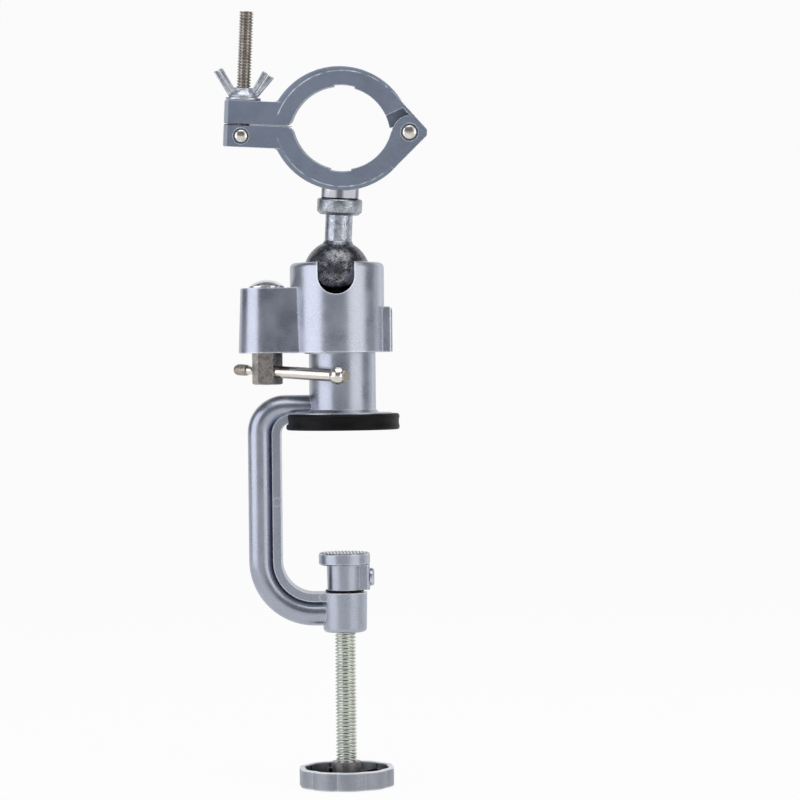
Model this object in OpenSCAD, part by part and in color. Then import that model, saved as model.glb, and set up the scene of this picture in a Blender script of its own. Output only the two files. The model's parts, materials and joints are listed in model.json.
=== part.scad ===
// Clamp-on bench vise. A screw clamp grips the edge of a bench, a ball in a locking
// sleeve sets the angle, and a hinged ring grips the round neck of a tool.
// Z is up, X points to the right, and the origin is the centre of the pad's underside.

/* [Bench clamp] */
// Gap between the pad and the pressure cup with the screw wound out
throat_open = 55.5; // [48:0.5:64]
// Distance from the screw's axis to the inner edge of the frame
throat_deep = 27.9; // [26:0.1:34]
// Diameter of the frame's round bar
bar_d = 11.4; // [9.4:0.2:12]
// Thickness of the flat flange along the inside of the bar
flange_t = 3.9; // [3.3:0.1:5]
// Width of that flange across the frame
flange_w = 13; // [12.2:0.2:16]
// Height of the upper arm's flange above the pad's underside
arm_z = 3.3; // [3.3:0.1:4.5]
// Bend radius of the bar's axis at the top corner
top_bend_r = 11.3; // [9.8:0.1:12.5]
// Bend radius of the bar's axis at the bottom corner
low_bend_r = 23.8; // [20:0.2:26]
// Diameter of the threaded boss at the end of the lower arm
boss_d = 20.2; // [17:0.2:24]
// Height of that boss
boss_h = 17.9; // [15:0.1:22]
// Diameter of the round pin marks left by the casting mould
mark_d = 3.8; // [2:0.1:3.9]

/* [Column and pad] */
// Diameter of the column
column_d = 30; // [28:0.2:31]
// Diameter of the plate at the foot of the column
plate_d = 44; // [40:0.5:46]
// Height of the top of that plate
plate_top = 7.6; // [7.4:0.1:9.5]
// Diameter of the rubber pad
pad_d = 51; // [49:0.5:56]
// Height of the rubber pad
pad_h = 7.1; // [6:0.1:7.5]
// Thickness of the rubber under the plate
pad_floor = 3; // [2:0.1:3.2]

/* [Clamp screw] */
// Diameter of the clamp screw
screw_d = 9.5; // [8:0.1:10.5]
// Free length of the screw between the frame and the hand knob
screw_free = 58.4; // [56:0.2:80]
// Diameter of the pressure cup's cap
cup_d = 23.1; // [20:0.1:26]
// Thickness of the cap
cup_cap_t = 5.4; // [4:0.1:7]
// Diameter of the cup's body
cup_body_d = 16; // [14.6:0.1:18]
// Whole height of the cup
cup_h = 16.6; // [15:0.1:19]
// Diameter of the small screw that holds the cup on
cup_screw_d = 4; // [3:0.1:4.6]
// Diameter of its head
cup_head_d = 8; // [6.4:0.1:9]

/* [Hand knob] */
// Diameter of the hand knob over its lobes
knob_d = 42.9; // [36:0.5:52]
// Height of the knob's rim
knob_h = 8.2; // [7:0.1:12]
// Number of lobes round the rim
lobe_count = 10; // [8:1:12]
// Radius of each lobe
lobe_r = 12; // [10.5:0.1:13.5]
// Thickness of the rim and of the web
knob_wall = 2.2; // [1.6:0.1:3]
// Diameter of the knob's hub
hub_d = 13; // [12.4:0.1:16]
// Number of ribs between the hub and the rim
knob_ribs = 5; // [3:1:8]

/* [Ball and sleeve] */
// Diameter of the ball
ball_d = 30; // [29:0.2:30.4]
// Height of the ball's centre
ball_z = 70.2; // [69.4:0.1:74]
// How far the ball and sleeve sit to the left of the column's axis
ball_left = 2; // [0:0.1:2.4]
// Diameter of the sleeve
sleeve_d = 42.3; // [40.5:0.1:44]
// Height of the sleeve's mouth above the pad's underside
sleeve_z = 34.7; // [33.8:0.1:35.5]
// Height of the sleeve's rim above the ball's centre
rim_above = 4.8; // [4.2:0.1:5.4]
// Radius of the sleeve's top edge
rim_r = 2.4; // [1:0.1:3]
// Width of the notch in the front of the sleeve
notch_w = 16.4; // [15.6:0.1:18]
// Depth of the notch's centre below the ball's centre
notch_drop = 1.4; // [1.2:0.1:2.4]
// Width of the rib on the right of the sleeve
fin_w = 12.4; // [11:0.2:14]
// How far that rib stands out of the sleeve
fin_out = 3.6; // [3:0.1:5]
// Height of that rib
fin_h = 20.4; // [19:0.2:24]

/* [Sleeve lock] */
// Distance of the lock screw from the column's axis
lock_x = 33.7; // [33.2:0.1:38]
// Diameter of the round boss on the sleeve
lock_boss_d = 25.7; // [24:0.1:28]
// Height of that boss
lock_boss_h = 29.2; // [27:0.1:33]
// Thickness of the boss's wall
lock_wall = 2.7; // [2:0.1:3.5]
// Diameter of the lock screw
lock_screw_d = 8; // [6:0.1:8.4]
// Diameter of its domed head
lock_head_d = 16; // [13:0.1:20]
// Height of its domed head
lock_head_h = 3.8; // [2.5:0.1:5]
// Width across the flats of the long nut
nut_flats = 12; // [11.4:0.1:13]
// Length of the nut below the sleeve's mouth
nut_drop = 14.2; // [12.6:0.1:14.8]
// Diameter of the T-bar
tbar_d = 5.6; // [4.6:0.1:5.8]
// Distance of the T-bar's ball from the nut's axis
tbar_reach = 40.3; // [34:0.1:42]
// Length of the T-bar on the other side
tbar_tail = 18.2; // [16.5:0.1:20]
// Diameter of the ball at the T-bar's end
tbar_ball_d = 8.3; // [7:0.1:9]
// Angle of the T-bar in front of the X axis
tbar_turn = 36.5; // [35:0.5:45]
// Slope of the T-bar
tbar_slope = 3; // [0:0.5:4]

/* [Ball stud] */
// Lean of the stud and ring to the right
head_lean = 3.1; // [0:0.1:3.4]
// Lean of the stud and ring to the front
head_pitch = 4.6; // [0:0.1:6]
// Diameter of the stud's neck
neck_d = 12.2; // [11:0.1:12.4]
// Distance of the lock collar from the ball's centre
collar_rise = 26.4; // [25.6:0.1:28.8]
// Diameter of the lock collar
collar_d = 20.2; // [17:0.1:22]
// Height of the lock collar
collar_h = 7.2; // [5:0.1:8]
// Diameter of the stud's threaded end
stud_d = 10; // [8:0.1:11]
// Diameter of the ring's stem
stem_d = 16.8; // [15:0.1:18]

/* [Ring] */
// Radius of the bore in each jaw
bore_r = 22.5; // [20:0.1:23]
// How far the upper bore's centre lies below the joint between the jaws
bore_past = 3.7; // [2.5:0.1:4.5]
// How far the lower bore's centre lies above that joint
low_bore_past = 4.3; // [3.4:0.1:4.8]
// Radius of the outside of each jaw
ring_r = 32.4; // [31.9:0.1:33]
// How far the centre of the upper outside arc lies below the joint
ring_past = 4.6; // [4:0.1:5]
// How far the centre of the lower outside arc lies above it
low_ring_past = 5; // [4.4:0.1:5.4]
// Width of the jaws
ring_w = 17.6; // [17.6:0.2:20]
// Width of the bevel round the jaws, seen from the front
ring_bevel = 1.9; // [0.5:0.1:2.4]
// Depth of that bevel
ring_bevel_t = 0.35; // [0.2:0.05:0.35]
// Distance of the joint between the jaws from the ball's centre
joint_rise = 64.8; // [62.2:0.1:72]
// Gap between the closed jaws
jaw_gap = 0.3; // [0.2:0.05:0.6]
// Reach of the ears to the left
ear_reach = 52.8; // [51.5:0.1:58]
// Thickness of the upper ear
ear_h = 10.5; // [9:0.1:12]
// Thickness of the lower ear
low_ear_h = 9.9; // [9.6:0.1:12]
// Width of the shallow recess in each bore
recess_w = 9.2; // [6:0.1:12]
// Depth of that recess
recess_t = 0.8; // [0.5:0.1:1.2]
// Distance of the hinge pin from the stud's axis
hinge_x = 29.9; // [29.6:0.1:31]
// Radius of the hinge knuckle
knuckle_r = 7.4; // [7:0.1:7.6]
// Distance of the nose's slanted edges from the hinge pin
nose_r = 6.6; // [6.2:0.1:6.9]
// Diameter of the hinge pin
hinge_pin_d = 5.2; // [4:0.1:6]
// Thickness of the upper jaw's tongue
tongue_t = 7.4; // [6:0.1:9]

/* [Swing bolt] */
// Distance of the swing bolt from the stud's axis
bolt_x = 45; // [44.6:0.1:46.5]
// Diameter of the swing bolt
bolt_d = 6.35; // [5:0.05:6.4]
// Height of the bolt's end above the joint between the jaws
bolt_rise = 50.4; // [49.6:0.2:70]
// Radius of the bolt's eye
eye_r = 4.7; // [4.2:0.1:4.8]
// Diameter of the pivot pin
pivot_d = 4.4; // [3.4:0.1:5]
// Diameter of the washer
washer_d = 15.7; // [13:0.1:16]
// Thickness of the washer
washer_t = 1.2; // [0.8:0.1:2]
// Diameter of the wing nut's base
wing_base_d = 13; // [11:0.1:14]
// Height of the wing nut's base
wing_base_h = 4.6; // [4:0.1:6]
// Span over the wings
wing_span = 27.7; // [25:0.1:32]
// Height of the wing nut over its wings
wing_h = 13.3; // [11.5:0.1:16]
// Thickness of each wing
wing_t = 2.6; // [1.6:0.1:3.6]

/* [Fits] */
// Gap round a shaft or screw that turns or slides in its hole
run_gap = 0.08; // [0.04:0.01:0.1]
// Gap between faces that turn or slide on each other
face_gap = 0.1; // [0.06:0.01:0.2]
// Gap between fixed pieces that are pressed or moulded together
snug_gap = 0.02; // [0.01:0.01:0.04]

/* [Hidden] */
$fn = 96;

// Frame, worked out from the throat
spine_in = -throat_deep;
bar_x = spine_in - flange_t + 0.3 - bar_d / 2;
arm_bar_z = arm_z + 1.1 + bar_d / 2;
cup_top = -throat_open;
cup_bottom = cup_top - cup_h;
boss_top = cup_bottom - 1.1;
boss_bottom = boss_top - boss_h;
low_flange_z = boss_top - flange_t / 2 + 0.1;
low_bar_z = boss_top - flange_t + 0.3 - bar_d / 2;
top_bend_x = bar_x + top_bend_r;
top_bend_z = arm_bar_z - top_bend_r;
low_bend_x = bar_x + low_bend_r;
low_bend_z = low_bar_z + low_bend_r;
mark_sink = 0.2;
mark_spine_z = -0.58 * throat_open;
mark_low_x = -throat_deep / 3;
screw_hole_r = screw_d / 2 + run_gap;

// Flange corners, which follow the bar's inside
top_fl_r = 5;
top_fl_x = spine_in + top_fl_r;
top_fl_z = arm_z - top_fl_r;
low_fl_r = low_bend_r - bar_d / 2 + 0.3 - flange_t;

// Pressure cup and clamp screw
tip_z = cup_top - cup_cap_t - 0.6;
cup_bore_top = tip_z + face_gap * 3;
retainer_z = (cup_top - cup_cap_t + cup_bottom) / 2;
groove_r = screw_d / 2 - 1.5;
groove_h = cup_screw_d + 0.8;
cup_side_x = cup_body_d / 2 + 3.4;
cup_side_w = cup_head_d + 1;
cup_head_t = 2;

// Hand knob
knob_top = boss_bottom - screw_free - 2.6;
hub_top = boss_bottom - screw_free;
knob_bottom = knob_top - knob_h;
lobe_out = knob_d / 2 - lobe_r;
knob_turn = -28.6;

// Column top and its seat
column_r = column_d / 2;
ball_r = ball_d / 2;
seat_r = ball_r + face_gap;
step_z = sleeve_z + 0.5;
cup_seat_z = ball_z - 0.68 * ball_r;

// Sleeve
sleeve_r = sleeve_d / 2;
sleeve_top = ball_z + rim_above;
sleeve_bore_r = ball_r + run_gap;
mouth_r = column_r + ball_left + 0.4;
boss_in_r = lock_boss_d / 2 - lock_wall;
boss_top_z = sleeve_z + lock_boss_h;
hollow_top = boss_top_z - 5.9;
lug_z = sleeve_z + 3.7;
lug_h = hollow_top - lug_z - 6;
lug_r = lock_screw_d / 2 + 2.8;
key_r = sleeve_r + fin_out - 4.4;
key_w = 6.4;
square = lock_screw_d;

// Nut and T-bar
nut_bottom = sleeve_z - nut_drop;
nut_top = lug_z - face_gap;
nut_len = nut_top - nut_bottom;
boss_draft = 1.1;
head_rim = 0.85;
tbar_z = nut_bottom + 6;
nut_bore_z = tbar_z + tbar_d / 2 + 1.2;
tail_neck = nut_flats / 2 + 0.5;
tail_head = tbar_tail - 7.3;

// Ball stud and ring, measured along the stud from the ball's centre
neck_end = collar_rise - face_gap;
collar_end = collar_rise + collar_h;
stem_start = collar_end + face_gap;
neck_foot_a = asin(neck_d / ball_d) + 4;
stud_end = joint_rise + low_bore_past - bore_r - recess_t - 2.6;
lower_face = -jaw_gap / 3;
upper_face = jaw_gap * 2 / 3;
lower_x = -0.3;
upper_x = -1;
hinge_v = lower_face;
nose_c = hinge_x + nose_r * sqrt(2);
nose_tip = nose_c - 1.5;
nose_up_a = 45;
nose_low_a = 47.5;
corner_r = 4;
ear_round = 0.8;
ear_fillet_r = 3;
fillet_bite = 0.05;
tongue_r = knuckle_r - 0.2;
slot_r = knuckle_r + 0.2;
clevis_w = tongue_t + 3 * face_gap;
end_angle = 27.5;
strip_t = 1.2;
recess_pin_r = hinge_pin_d / 2 + 1.4;
recess_pin_t = 1.2;

// Swing bolt parts, measured from the joint between the jaws
pivot_v = lower_face - low_ear_h / 2;
eye_w = bolt_d + 0.2;
fork_w = eye_w + 0.6;
fork_end = bolt_x - eye_r - 0.4;
upper_top = upper_face + ear_h;
washer_v = upper_top + face_gap;
wing_v = washer_v + washer_t + face_gap / 2;
bolt_hole_r = bolt_d / 2 + run_gap;
recess_pivot_r = pivot_d / 2 + 1.4;
wing_tip_r = 2.4;

// Points along an arc, for the outlines that are turned or extruded
function arc_points(c, r, a0, a1, n) =
    [for (i = [0 : n]) let (a = a0 + (a1 - a0) * i / n) [c[0] + r * cos(a), c[1] + r * sin(a)]];

// Cylinder along Y, centred
module rod_y(r, l) {
    rotate([90, 0, 0]) cylinder(r = r, h = l, center = true);
}

// Disc of the jaws' outside, with its axis along Y and bevelled edges
module ring_disc() {
    half = ring_w / 2;
    rotate([90, 0, 0])
        rotate_extrude()
            polygon([
                [0, -half], [ring_r - ring_bevel, -half], [ring_r, ring_bevel_t - half],
                [ring_r, half - ring_bevel_t], [ring_r - ring_bevel, half], [0, half]
            ]);
}

// Outline in the XZ plane, given a width across Y
module slab_y(w) {
    rotate([90, 0, 0]) linear_extrude(w, center = true) children();
}

// Quarter bend in the XZ plane about a point, from one angle to another
module bend(x, z, a0, a1) {
    translate([x, 0, z])
        rotate([90, 0, 0])
            rotate([0, 0, a0]) rotate_extrude(angle = a1 - a0) children();
}

// Places a child on the stud's axis, with the ball's centre as origin
module on_stud() {
    translate([-ball_left, 0, ball_z]) rotate([head_pitch, head_lean, 0]) children();
}

// Places a child at the joint between the jaws
module on_ring() {
    on_stud() translate([0, 0, joint_rise]) children();
}

// Places a child at the nut's axis, with X along the T-bar
module on_tbar() {
    translate([-lock_x, 0, tbar_z]) rotate([0, tbar_slope, -tbar_turn]) children();
}

// Round bar of the frame, from the column to the lower boss
module frame_bar() {
    translate([top_bend_x, 0, arm_bar_z]) rotate([0, 90, 0]) cylinder(d = bar_d, h = -top_bend_x);
    bend(top_bend_x, top_bend_z, 90, 180) translate([top_bend_r, 0]) circle(d = bar_d);
    translate([bar_x, 0, low_bend_z]) cylinder(d = bar_d, h = top_bend_z - low_bend_z);
    bend(low_bend_x, low_bend_z, 180, 270) translate([low_bend_r, 0]) circle(d = bar_d);
    translate([low_bend_x, 0, low_bar_z]) rotate([0, 90, 0]) cylinder(d = bar_d, h = -low_bend_x);
}

// Flat flange along the inside of the bar
module frame_flange() {
    slab_y(flange_w) {
        translate([top_fl_x, arm_z]) square([-top_fl_x, flange_t]);
        intersection() {
            difference() {
                translate([top_fl_x, top_fl_z]) circle(r = top_fl_r + flange_t);
                translate([top_fl_x, top_fl_z]) circle(r = top_fl_r);
            }
            translate([top_fl_x - 20, top_fl_z]) square([20, 20]);
        }
        translate([spine_in - flange_t, low_bend_z]) square([flange_t, top_fl_z - low_bend_z]);
        intersection() {
            difference() {
                translate([low_bend_x, low_bend_z]) circle(r = low_fl_r + flange_t);
                translate([low_bend_x, low_bend_z]) circle(r = low_fl_r);
            }
            translate([low_bend_x - 40, low_bend_z - 40]) square([40, 40]);
        }
        translate([low_bend_x, low_bend_z - low_fl_r - flange_t]) square([-low_bend_x, flange_t]);
    }
}

module c_frame() color([0.56, 0.6, 0.67]) difference() {
    union() {
        frame_bar();
        frame_flange();
        rotate_extrude()
            polygon(concat(
                [[0, boss_bottom]],
                arc_points([boss_d / 2 - 2.1, boss_bottom + 1.8], 1.8, -90, 0, 6),
                [[boss_d / 2, boss_top], [0, boss_top]]
            ));
        translate([0, 0, pad_floor + snug_gap]) cylinder(d = plate_d, h = plate_top - pad_floor - snug_gap);
        translate([0, 0, plate_top]) cylinder(r1 = column_r + 1.5, r2 = column_r, h = 1.5);
        translate([0, 0, pad_floor + 1]) cylinder(r = column_r, h = step_z - pad_floor - 1);
        translate([-ball_left, 0, step_z - 1]) cylinder(r = ball_r, h = cup_seat_z - step_z + 1);
        translate([-lock_x, 0, lug_z]) cylinder(r = lug_r, h = lug_h);
        translate([-lock_x, -lug_r, lug_z]) cube([lock_x, 2 * lug_r, lug_h]);
        translate([0, -key_w / 2, lug_z]) cube([key_r - ball_left, key_w, lug_h]);
    }
    translate([-ball_left, 0, ball_z]) sphere(r = seat_r);
    translate([-lock_x, 0, lug_z - 1]) cylinder(d = lock_screw_d + 0.8, h = lug_h + 2);
    translate([0, 0, boss_bottom - 1]) cylinder(r = screw_hole_r, h = boss_h + 2);
    translate([spine_in - flange_t / 2, -flange_w / 2, mark_spine_z])
        rod_y(mark_d / 2, 2 * mark_sink);
    translate([mark_low_x, -flange_w / 2, low_flange_z])
        rod_y(mark_d / 2, 2 * mark_sink);
}

module bench_pad() color([0.07, 0.07, 0.08]) difference() {
    rotate_extrude()
        polygon(concat(
            [[0, 0], [pad_d / 2 - 0.6, 0], [pad_d / 2, 0.6]],
            arc_points([pad_d / 2 + 6, pad_h / 2], 6.3, 198, 162, 8),
            [[pad_d / 2, pad_h - 0.8], [pad_d / 2 - 0.6, pad_h]],
            [[plate_d / 2 + snug_gap, pad_h], [plate_d / 2 + snug_gap, pad_floor], [0, pad_floor]]
        ));
    slab_y(flange_w + 0.6) {
        translate([-pad_d, arm_z - 0.3]) square([pad_d, pad_h]);
        difference() {
            translate([top_fl_x - 20, top_fl_z]) square([20, 20]);
            translate([top_fl_x, top_fl_z]) circle(r = top_fl_r - 0.3);
        }
    }
}

module clamp_screw() color([0.72, 0.74, 0.68]) difference() {
    translate([0, 0, knob_bottom + 1]) cylinder(d = screw_d, h = tip_z - knob_bottom - 1);
    translate([0, 0, retainer_z - groove_h / 2]) difference() {
        cylinder(d = screw_d + 2, h = groove_h);
        translate([0, 0, -1]) cylinder(r = groove_r, h = groove_h + 2);
    }
}

// Scalloped outline of the knob, drawn in by a wall thickness
module knob_outline(inset) {
    for (i = [0 : lobe_count - 1])
        rotate(knob_turn + (i + 0.5) * 360 / lobe_count)
            translate([lobe_out, 0]) circle(r = lobe_r - inset);
}

module hand_knob() color([0.55, 0.59, 0.66]) difference() {
    union() {
        translate([0, 0, knob_bottom]) difference() {
            linear_extrude(knob_h) knob_outline(0);
            translate([0, 0, knob_wall]) linear_extrude(knob_h) knob_outline(knob_wall);
        }
        for (i = [0 : knob_ribs - 1])
            rotate([0, 0, knob_turn + i * 360 / knob_ribs])
                translate([0, -0.8, knob_bottom + 0.5]) cube([knob_d / 2 - knob_wall, 1.6, knob_h - 3.2]);
        translate([0, 0, knob_bottom]) cylinder(d = hub_d, h = hub_top - knob_bottom);
    }
    translate([0, 0, knob_bottom + 1 - snug_gap])
        cylinder(d = screw_d + 2 * snug_gap, h = hub_top - knob_bottom);
}

module pressure_cup() color([0.55, 0.59, 0.66]) difference() {
    union() {
        translate([0, 0, cup_top - cup_cap_t])
            rotate_extrude()
                polygon([
                    [0, 0], [cup_d / 2 - 0.7, 0], [cup_d / 2, 0.7],
                    [cup_d / 2, cup_cap_t - 0.5], [cup_d / 2 - 0.5, cup_cap_t], [0, cup_cap_t]
                ]);
        translate([0, 0, cup_bottom])
            cylinder(d1 = cup_body_d - 0.4, d2 = cup_body_d, h = cup_h - cup_cap_t);
        translate([0, 0, cup_bottom]) linear_extrude(cup_h - cup_cap_t) {
            translate([0, -cup_side_w / 2]) square([cup_side_x - 1.5, cup_side_w]);
            translate([0, 1.5 - cup_side_w / 2]) square([cup_side_x, cup_side_w - 3]);
            for (s = [-1, 1])
                translate([cup_side_x - 1.5, s * (cup_side_w / 2 - 1.5)]) circle(r = 1.5);
        }
    }
    translate([0, 0, cup_bottom - 1]) cylinder(r = screw_hole_r, h = cup_bore_top - cup_bottom + 1);
    translate([0, 0, retainer_z])
        rotate([0, 90, 0]) cylinder(d = cup_screw_d + 2 * snug_gap, h = cup_side_x + 1);
}

module cup_screw() color([0.7, 0.7, 0.7])
    translate([0, 0, retainer_z]) rotate([0, 90, 0]) difference() {
        union() {
            translate([0, 0, groove_r + 0.2]) cylinder(d = cup_screw_d, h = cup_side_x - groove_r);
            translate([0, 0, cup_side_x + snug_gap])
                rotate_extrude()
                    polygon(concat(
                        [[0, 0], [cup_head_d / 2, 0]],
                        arc_points([cup_head_d / 2 - 1.2, cup_head_t - 1.2], 1.2, 0, 90, 6),
                        [[0, cup_head_t]]
                    ));
        }
        translate([0, 0, cup_side_x + cup_head_t]) for (a = [0, 90])
            rotate([0, 0, a]) cube([0.55 * cup_head_d, 1, 2], center = true);
    }

// Cavity of the sleeve: a plain bore that closes to a spherical lip over the ball
module sleeve_cavity() {
    lip = asin(rim_above / seat_r);
    rotate_extrude()
        polygon(concat(
            [[0, sleeve_z - 1], [mouth_r, sleeve_z - 1], [mouth_r, step_z + 1]],
            [[sleeve_bore_r, step_z + 1.5], [sleeve_bore_r, ball_z]],
            [for (p = arc_points([0, ball_z], seat_r, 0, lip, 8)) if (p[0] < sleeve_bore_r) p],
            [[seat_r * cos(lip), sleeve_top + 1], [0, sleeve_top + 1]]
        ));
}

module housing() color([0.58, 0.62, 0.7]) difference() {
    union() {
        translate([-ball_left, 0, 0])
            rotate_extrude()
                polygon(concat(
                    [[0, sleeve_z], [sleeve_r, sleeve_z]],
                    arc_points([sleeve_r - rim_r, sleeve_top - rim_r], rim_r, 0, 90, 8),
                    [[0, sleeve_top]]
                ));
        translate([-lock_x, 0, sleeve_z])
            cylinder(r1 = lock_boss_d / 2, r2 = lock_boss_d / 2 - boss_draft, h = lock_boss_h);
        translate([-lock_x, 0, sleeve_z]) rotate([90, 0, 90]) linear_extrude(lock_x - ball_left)
            polygon([
                [-lock_boss_d / 2, 0], [lock_boss_d / 2, 0],
                [lock_boss_d / 2 - boss_draft, lock_boss_h], [boss_draft - lock_boss_d / 2, lock_boss_h]
            ]);
        intersection() {
            translate([-ball_left, 0, sleeve_z]) linear_extrude(fin_h) {
                translate([0, -fin_w / 2]) square([sleeve_r + fin_out - 1.5, fin_w]);
                translate([0, 1.5 - fin_w / 2]) square([sleeve_r + fin_out, fin_w - 3]);
                for (s = [-1, 1])
                    translate([sleeve_r + fin_out - 1.5, s * (fin_w / 2 - 1.5)]) circle(r = 1.5);
            }
            translate([-ball_left, 0, sleeve_z]) slab_y(fin_w + 2) {
                square([sleeve_r + fin_out - 2, fin_h]);
                square([sleeve_r + fin_out, fin_h - 2]);
                translate([sleeve_r + fin_out - 2, fin_h - 2]) circle(r = 2);
            }
        }
    }
    translate([-ball_left, 0, 0]) sleeve_cavity();
    translate([-lock_x, 0, sleeve_z - 1]) cylinder(r = boss_in_r, h = hollow_top - sleeve_z + 1);
    translate([-lock_x, -lug_r - 0.4, sleeve_z - 1])
        cube([lock_x - ball_left, 2 * lug_r + 0.8, hollow_top - sleeve_z + 1]);
    translate([-lock_x - square / 2 - run_gap, -square / 2 - run_gap, hollow_top - 1])
        cube([square + 2 * run_gap, square + 2 * run_gap, 8]);
    translate([-ball_left, -key_w / 2 - 0.4, sleeve_z - 1])
        cube([key_r + 0.4, key_w + 0.8, lug_z + lug_h - sleeve_z + 3]);
    translate([-ball_left, -sleeve_r, ball_z - notch_drop]) slab_y(2 * sleeve_r) {
        circle(d = notch_w);
        translate([-notch_w / 2, 0]) square([notch_w, 30]);
    }
}

module lock_screw() color([0.8, 0.8, 0.8]) translate([-lock_x, 0, 0]) {
    dome_h = lock_head_h - head_rim;
    dome_r = (pow(lock_head_d / 2, 2) + pow(dome_h, 2)) / (2 * dome_h);
    dome_a = asin(lock_head_d / 2 / dome_r);
    translate([0, 0, nut_bore_z + 0.8]) cylinder(d = lock_screw_d, h = hollow_top - nut_bore_z);
    translate([-square / 2, -square / 2, hollow_top + 0.4]) cube([square, square, boss_top_z - hollow_top]);
    translate([0, 0, boss_top_z + snug_gap])
        rotate_extrude()
            polygon(concat(
                [[0, 0], [lock_head_d / 2, 0]],
                arc_points([0, lock_head_h - dome_r], dome_r, 90 - dome_a, 90, 12)
            ));
}

module t_nut() color([0.42, 0.4, 0.38]) difference() {
    translate([-lock_x, 0, nut_bottom]) intersection() {
        rotate([0, 0, 30 - tbar_turn]) cylinder(d = nut_flats / cos(30), h = nut_len, $fn = 6);
        cylinder(r1 = nut_flats / 2 - 0.4, r2 = nut_flats / 2 + 3 * nut_len, h = nut_len);
    }
    translate([-lock_x, 0, nut_bore_z])
        cylinder(r = lock_screw_d / 2 + run_gap, h = nut_top - nut_bore_z + 1);
    on_tbar() rotate([0, 90, 0]) cylinder(r = tbar_d / 2 + run_gap, h = 3 * nut_flats, center = true);
}

module t_bar() color([0.75, 0.72, 0.66]) on_tbar() rotate([0, 90, 0]) {
    translate([0, 0, -tail_neck]) cylinder(d = tbar_d, h = tbar_reach + tbar_ball_d / 2 + 0.6 + tail_neck);
    translate([0, 0, -tail_head - 0.5]) cylinder(d = 0.7 * tbar_d, h = tail_head + 1 - tail_neck);
    translate([0, 0, -tbar_tail])
        rotate_extrude()
            polygon([
                [0, 0], [tbar_d / 2 - 0.5, 0], [tbar_d / 2 + 0.2, 1.2],
                [tbar_d / 2 - 0.1, 5], [0.35 * tbar_d, tbar_tail - tail_head], [0, tbar_tail - tail_head]
            ]);
}

module t_bar_ball() color([0.78, 0.75, 0.7]) on_tbar() rotate([0, 90, 0]) difference() {
    translate([0, 0, tbar_reach]) sphere(d = tbar_ball_d);
    cylinder(d = tbar_d + 2 * snug_gap, h = tbar_reach + tbar_ball_d);
}

module ball_stud() color([0.3, 0.31, 0.33]) on_stud() union() {
    sphere(r = ball_r);
    cylinder(d = neck_d, h = neck_end);
    translate([0, 0, ball_r * cos(neck_foot_a) - 0.1])
        cylinder(r1 = ball_r * sin(neck_foot_a), r2 = neck_d / 2, h = 1.7);
    cylinder(d = stud_d, h = stud_end);
}

module lock_collar() color([0.6, 0.61, 0.64]) on_stud() translate([0, 0, collar_rise])
    rotate_extrude()
        polygon([
            [stud_d / 2 + run_gap, 0], [collar_d / 2 - 1.6, 0], [collar_d / 2, 1.4],
            [collar_d / 2, collar_h - 0.6], [collar_d / 2 - 0.6, collar_h], [stud_d / 2 + run_gap, collar_h]
        ]);

// Ear of a jaw, with its outer corners rounded; v is the height of its lower face
module ear(v, thick) {
    slab_y(ring_w) translate([-ear_reach, v]) {
        translate([ear_round, 0]) square([ear_reach - bore_r - ear_round, thick]);
        translate([0, ear_round]) square([2 * ear_round, thick - 2 * ear_round]);
        for (h = [ear_round, thick - ear_round]) translate([ear_round, h]) circle(r = ear_round);
    }
}

// Fillet between an ear's outer face at height v and the outside arc, drawn for the upper jaw
module ear_fillet(x, past, v) {
    r = ear_fillet_r;
    gap = r - fillet_bite;
    c = [x - sqrt(pow(ring_r + gap, 2) - pow(v + gap + past, 2)), v + gap];
    t = c + ([x, -past] - c) * r / (ring_r + gap);
    slab_y(ring_w - 2 * ring_bevel_t - 0.2) difference() {
        polygon([[c[0], v - 1], [t[0] + 3, v - 1], t, c]);
        translate(c) circle(r = r);
    }
}

// Shallow recess in the middle of a bore, whose centre is at a height v; s is 1 at the top
module bore_recess(x, v, s) {
    slab_y(ring_w + 2) intersection() {
        translate([x, v]) circle(r = bore_r + recess_t);
        translate([-recess_w / 2, v + s * bore_r - 5]) square([recess_w, 10]);
    }
}

// What is cut from the corner between a bore and the joint to leave it rounded
module bore_corner(x, face, past) {
    c = [x - sqrt(pow(bore_r + corner_r, 2) - pow(past - face + corner_r, 2)), face - corner_r];
    t = c + ([x, past] - c) * corner_r / (bore_r + corner_r);
    slab_y(ring_w + 2) difference() {
        polygon([
            [c[0], face + 1], [c[0] + 2 * corner_r, face + 1],
            [c[0] + 2 * corner_r, t[1]], t, [c[0], t[1]]
        ]);
        translate(c) circle(r = corner_r);
    }
}

// Slot in an ear for the swing bolt
module fork(v, thick) {
    translate([-ear_reach - 1, -fork_w / 2, v]) cube([ear_reach - fork_end + 1, fork_w, thick + 2]);
}

// Foot of a slanted edge of the nose, seen from a point; side is 1 for the lower edge
function edge_foot(c, side, a) =
    let (n = [sin(a), -side * cos(a)])
    c + n * (([hinge_x, hinge_v] - c) * n + nose_r);

// Outline that leads from a jaw's outside arc to the nose over the hinge
module nose_web(x, past, side, a) {
    pin = [hinge_x, hinge_v];
    polygon([[x, side * past], edge_foot([x, side * past], side, a), edge_foot(pin, side, a), pin]);
}

// Everything inside the slanted edges and the blunt tip of the nose
module nose_wedge() {
    pin = [hinge_x, hinge_v];
    low = edge_foot(pin, 1, nose_low_a);
    up = edge_foot(pin, -1, nose_up_a);
    polygon([
        edge_foot([lower_x, low_ring_past], 1, nose_low_a), low,
        [nose_tip, low[1] + (nose_tip - low[0]) * tan(nose_low_a)],
        [nose_tip, up[1] - (nose_tip - up[0]) * tan(nose_up_a)],
        up, edge_foot([upper_x, -ring_past], -1, nose_up_a)
    ]);
}

// Round end of the upper jaw's tongue
module tongue_end() {
    intersection() {
        translate([hinge_x, hinge_v]) circle(r = tongue_r);
        nose_wedge();
    }
}

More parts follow.
